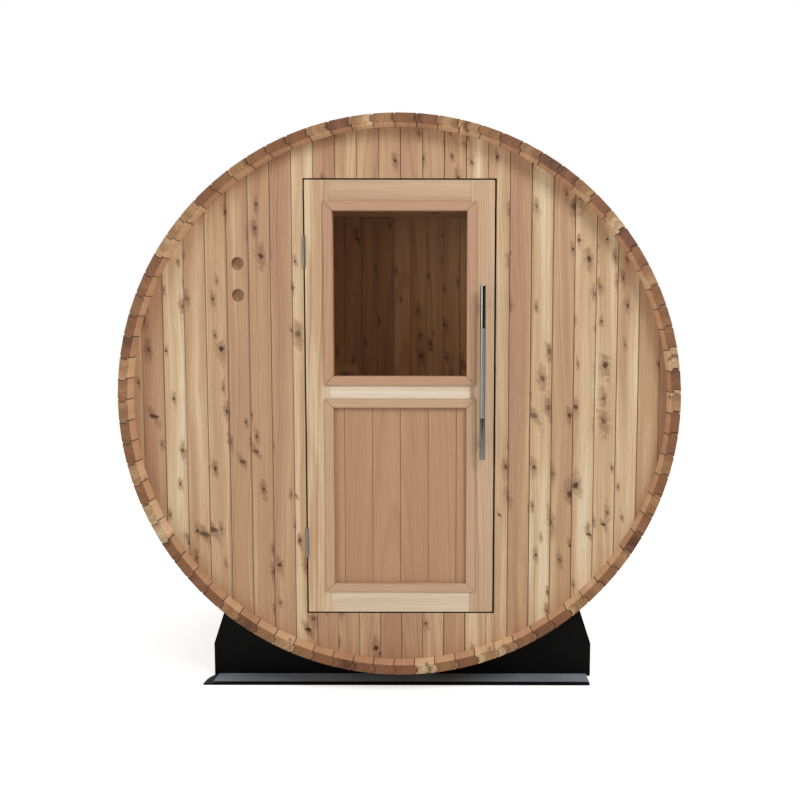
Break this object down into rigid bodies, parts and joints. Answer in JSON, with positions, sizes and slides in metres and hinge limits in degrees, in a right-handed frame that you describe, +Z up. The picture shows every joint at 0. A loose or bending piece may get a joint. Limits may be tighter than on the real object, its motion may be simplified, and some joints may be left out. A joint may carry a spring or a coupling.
{
  "type": "barrel sauna",
  "caption": "Round wooden barrel sauna of bead-and-cove staves on low cradles, with a hinged half-glazed door set in a boarded front wall under a short overhang.",
  "frame": {"origin": "on the ground, under the middle of the barrel", "axes": "+X to the right seen from the door, +Y to the rear along the barrel, +Z up"},
  "size_m": [1.8313, 1.2192, 1.9064],
  "materials": {
    "stave_wood": "planed softwood, unfinished, with reddish end grain",
    "wall_wood": "planed tongue-and-groove softwood boards, unfinished",
    "inside_wood": "planed softwood, unfinished",
    "door_wood": "planed softwood, unfinished",
    "trim_wood": "planed softwood, unfinished",
    "window_glass": "tinted, polished",
    "hinge_steel": "satin",
    "handle_satin": "satin",
    "handle_chrome": "polished",
    "cradle_steel": "folded plate, semi-matte black",
    "band_steel": "rolled stainless strap"
  },
  "bodies": {
    "cabin": {"staves_bottom": "stave_wood", "staves_lower_right": "stave_wood", "staves_right": "stave_wood", "staves_upper_right": "stave_wood", "staves_top_right": "stave_wood", "staves_top_left": "stave_wood", "staves_upper_left": "stave_wood", "staves_left": "stave_wood", "staves_lower_left": "stave_wood", "front_wall_left": "wall_wood", "front_wall_vent_board": "wall_wood", "front_wall_hinge_side": "wall_wood", "front_wall_right": "wall_wood", "front_wall_head": "wall_wood", "front_wall_sill": "wall_wood", "rear_wall": "wall_wood", "door_stop_left": "inside_wood", "door_stop_right": "inside_wood", "door_stop_top": "inside_wood", "door_stop_bottom": "inside_wood", "rear_wall_batten": "inside_wood", "rear_cleat_left": "inside_wood", "rear_cleat_right": "inside_wood", "hinges_frame_side": "hinge_steel", "cradle_front": "cradle_steel", "cradle_rear": "cradle_steel", "band_front": "band_steel", "band_rear": "band_steel"},
    "door": {"door_stile_hinge": "door_wood", "door_stile_latch": "door_wood", "door_rail_top": "door_wood", "door_rail_middle": "door_wood", "door_rail_bottom": "door_wood", "door_panel": "door_wood", "door_glass": "window_glass", "window_trim_outside": "trim_wood", "window_trim_inside": "trim_wood", "panel_trim_outside": "trim_wood", "panel_trim_inside": "trim_wood", "hinges_door_side": "hinge_steel", "handle_grip": "handle_satin", "handle_ends": "handle_chrome", "handle_posts": "handle_chrome"}
  },
  "joints": [
    {"name": "door_hinge", "type": "hinge", "parent": "cabin", "child": "door", "pos_m": [-0.313, -0.5506, 0.99235], "axis": [0, 0, -1], "range_deg": [0, 150]}
  ]
}
